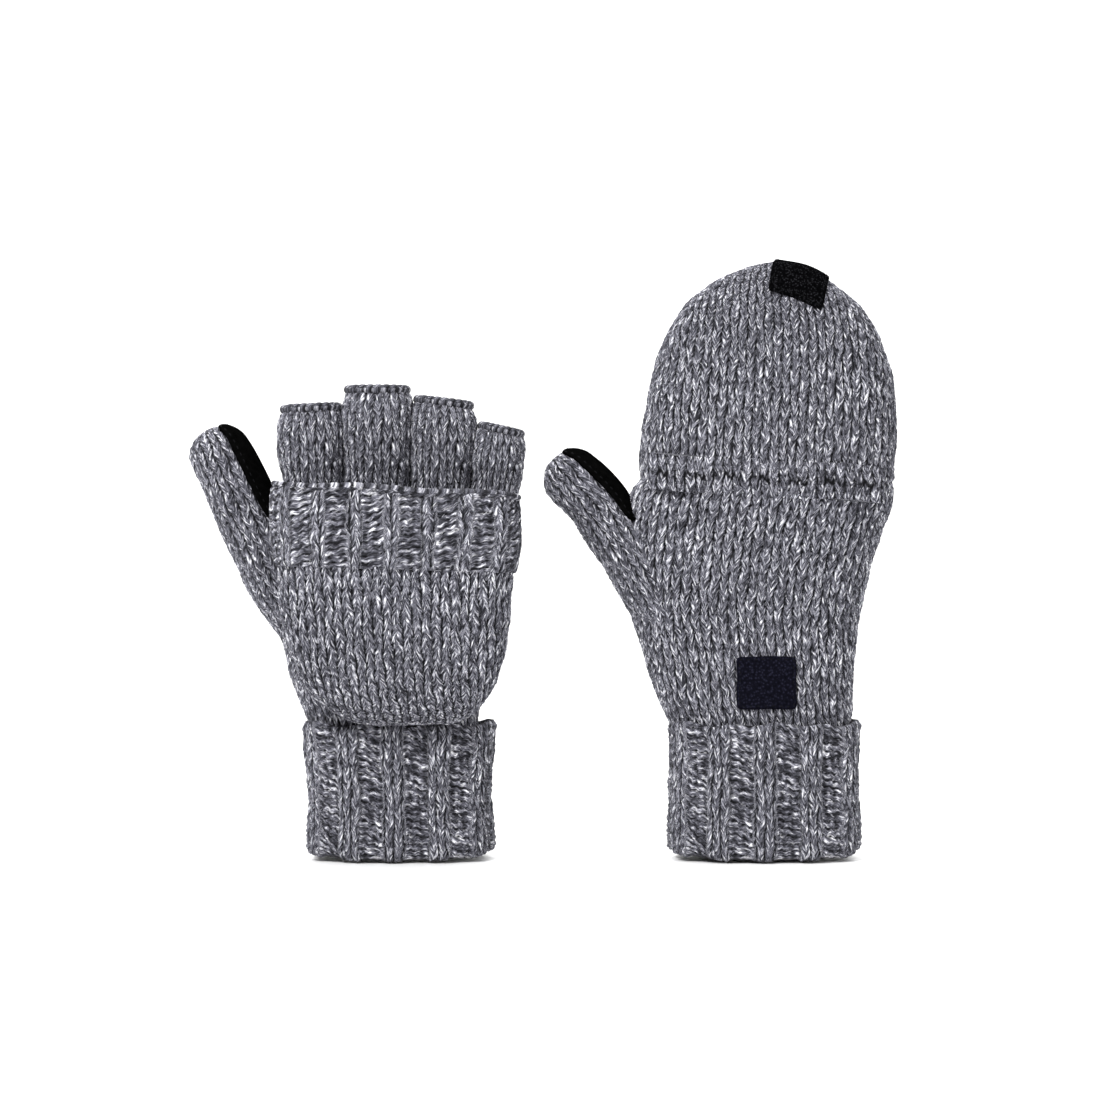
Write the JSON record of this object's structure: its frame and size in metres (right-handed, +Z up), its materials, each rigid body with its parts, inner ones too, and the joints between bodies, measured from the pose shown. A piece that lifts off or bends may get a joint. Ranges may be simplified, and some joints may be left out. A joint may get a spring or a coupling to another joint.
{
  "type": "convertible flip-top mittens",
  "caption": "Pair of chunky marled knit mittens with open finger stubs and flip-top caps, one cap folded back and one closed, with full thumbs and turned-up ribbed cuffs",
  "frame": {"origin": "the middle of the pair's bounding box across X and Y, at the level of the cuffs' lower edges", "axes": "+X to the right as the backs of the hands are seen, so the thumbs point to -X; the backs of the hands face -Y and the palms +Y; +Z up, along the fingers"},
  "size_m": [0.3006, 0.073, 0.2531],
  "materials": {
    "knit": "chunky grey-marled wool knit, fuzzy, with near-white flecks",
    "suede": "black suede, matt",
    "hook_tape": "black woven hook tape",
    "loop_tape": "navy-black fuzzy loop tape"
  },
  "bodies": {
    "a_hand": {"a_hand_shell": "knit", "a_cuff_inner": "knit", "a_cuff_turnup": "knit", "a_index_stub": "knit", "a_middle_stub": "knit", "a_ring_stub": "knit", "a_little_stub": "knit", "a_knuckle_seam": "knit", "a_loop_patch": "loop_tape"},
    "a_thumb": {"a_thumb_shell": "knit", "a_thumb_grip_patch": "suede"},
    "a_cap": {"a_cap_shell": "knit", "a_cap_band": "knit", "a_cap_hook_patch": "hook_tape"},
    "b_hand": {"b_hand_shell": "knit", "b_cuff_inner": "knit", "b_cuff_turnup": "knit", "b_index_stub": "knit", "b_middle_stub": "knit", "b_ring_stub": "knit", "b_little_stub": "knit", "b_knuckle_seam": "knit", "b_loop_patch": "loop_tape"},
    "b_thumb": {"b_thumb_shell": "knit", "b_thumb_grip_patch": "suede"},
    "b_cap": {"b_cap_shell": "knit", "b_cap_band": "knit", "b_cap_hook_patch": "hook_tape"}
  },
  "joints": [
    {"name": "a_cap_flip", "type": "hinge", "parent": "a_hand", "child": "a_cap", "pos_m": [-0.06303, -0.01006, 0.153], "axis": [-1, 0, 0], "range_deg": [0, 180], "deforming": ["a_index_stub", "a_middle_stub", "a_ring_stub", "a_little_stub"]},
    {"name": "a_thumb_swing", "type": "hinge", "parent": "a_hand", "child": "a_thumb", "pos_m": [-0.11453, 0.01164, 0.119], "axis": [-0.8997, 0, -0.4365], "range_deg": [-10, 40]},
    {"name": "pair_gap", "type": "slide", "parent": "a_hand", "child": "b_hand", "axis": [1, 0, 0], "range_m": [0, 0.08]},
    {"name": "b_cap_flip", "type": "hinge", "parent": "b_hand", "child": "b_cap", "pos_m": [0.09147, -0.01006, 0.161], "axis": [1, 0, 0], "range_deg": [0, 180]},
    {"name": "b_thumb_swing", "type": "hinge", "parent": "b_hand", "child": "b_thumb", "pos_m": [0.04297, 0.01164, 0.115], "axis": [-0.8167, 0, -0.577], "range_deg": [-10, 40]}
  ]
}
